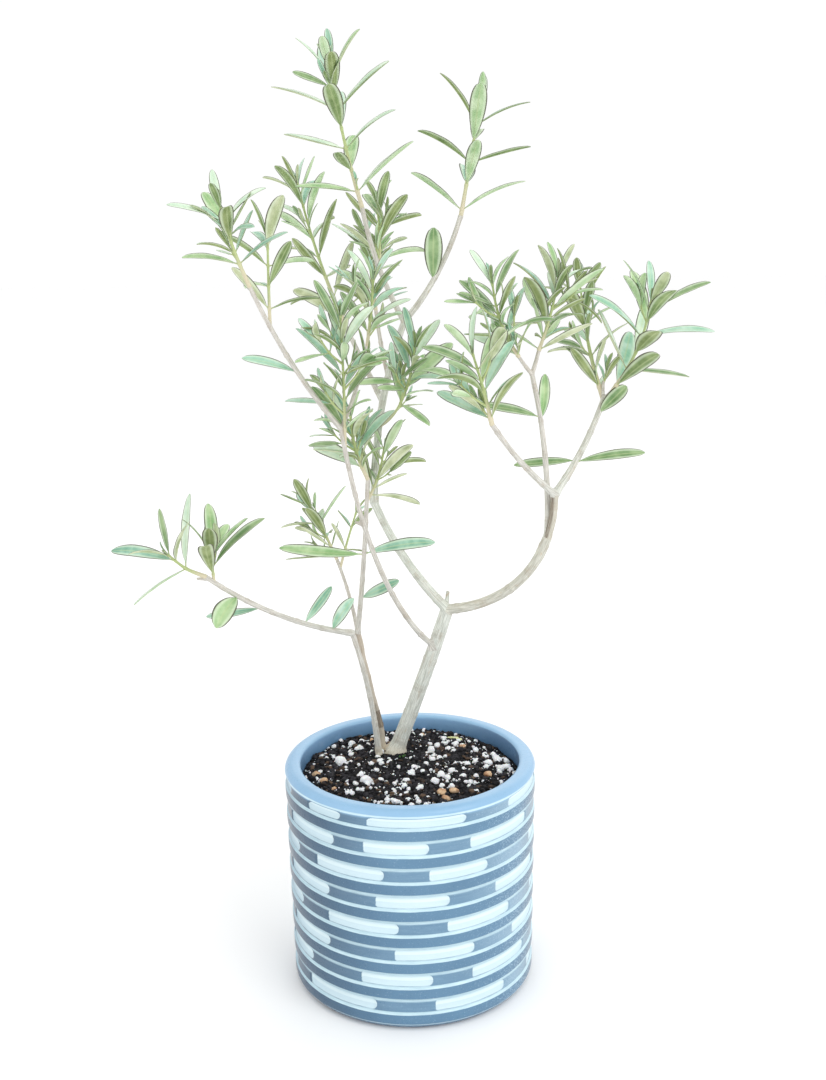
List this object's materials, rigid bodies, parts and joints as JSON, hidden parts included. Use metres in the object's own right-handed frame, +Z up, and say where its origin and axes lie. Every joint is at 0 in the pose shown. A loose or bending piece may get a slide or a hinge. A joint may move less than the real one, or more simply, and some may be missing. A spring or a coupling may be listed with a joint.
{
  "type": "potted olive tree",
  "caption": "Young olive tree with slender forking stems and narrow grey-green leaves, growing in a round glazed pot with raised rings.",
  "frame": {"origin": "centre of the pot's flat underside", "axes": "+Z up along the pot's axis, -Y towards the side the plant is seen from, +X to the right of that view"},
  "size_m": [0.3403, 0.2128, 0.5568],
  "materials": {
    "glazed_pot": "glossy grey-blue glaze with white recessed dashes",
    "potting_soil": "loose dark soil with white grains",
    "bark": "smooth pale grey-beige bark",
    "foliage": "satin olive-green leaves, paler beneath"
  },
  "bodies": {
    "root": {"pot": "glazed_pot", "soil": "potting_soil", "trunk": "bark", "stem_left_front": "bark", "stem_left_back": "bark", "bough_side": "bark", "bough_centre_low": "bark", "bough_centre_high": "bark", "bough_top": "bark", "bough_top_right": "bark", "bough_upper_left": "bark", "bough_inner_back": "bark", "bough_far_left": "bark", "bough_inner_left": "bark", "bough_right_low": "bark", "bough_right_rise": "bark", "bough_right_front": "bark", "bough_right_middle": "bark", "bough_middle_left": "bark", "bough_middle_right": "bark", "bough_right_outer": "bark", "bough_outer_right": "bark", "bough_left": "bark", "bough_up": "bark", "bough_back": "bark", "leaf_top_right": "foliage", "leaf_up_left": "foliage", "leaf_up_right": "foliage", "leaf_left_oval": "foliage", "leaf_left_low": "foliage", "leaf_left_inner": "foliage", "leaf_left_pale": "foliage", "leaf_up_low": "foliage", "leaf_outer_right": "foliage", "leaf_outer_left": "foliage", "leaf_fork_right": "foliage", "leaf_far_low": "foliage", "leaf_middle_low": "foliage", "leaf_middle_side": "foliage", "foliage_top": "foliage", "foliage_top_right": "foliage", "foliage_top_side": "foliage", "foliage_upper_left": "foliage", "foliage_far_left": "foliage", "foliage_far_side": "foliage", "foliage_inner_left": "foliage", "foliage_inner_back": "foliage", "foliage_centre_left": "foliage", "foliage_centre_right": "foliage", "foliage_mid_left": "foliage", "foliage_mid_right": "foliage", "foliage_back": "foliage", "foliage_back_side": "foliage", "foliage_left_upright": "foliage", "foliage_left_end": "foliage", "foliage_right_front": "foliage", "foliage_middle_left": "foliage", "foliage_middle_right": "foliage", "foliage_outer_left": "foliage", "foliage_outer_right": "foliage"}
  },
  "joints": []
}
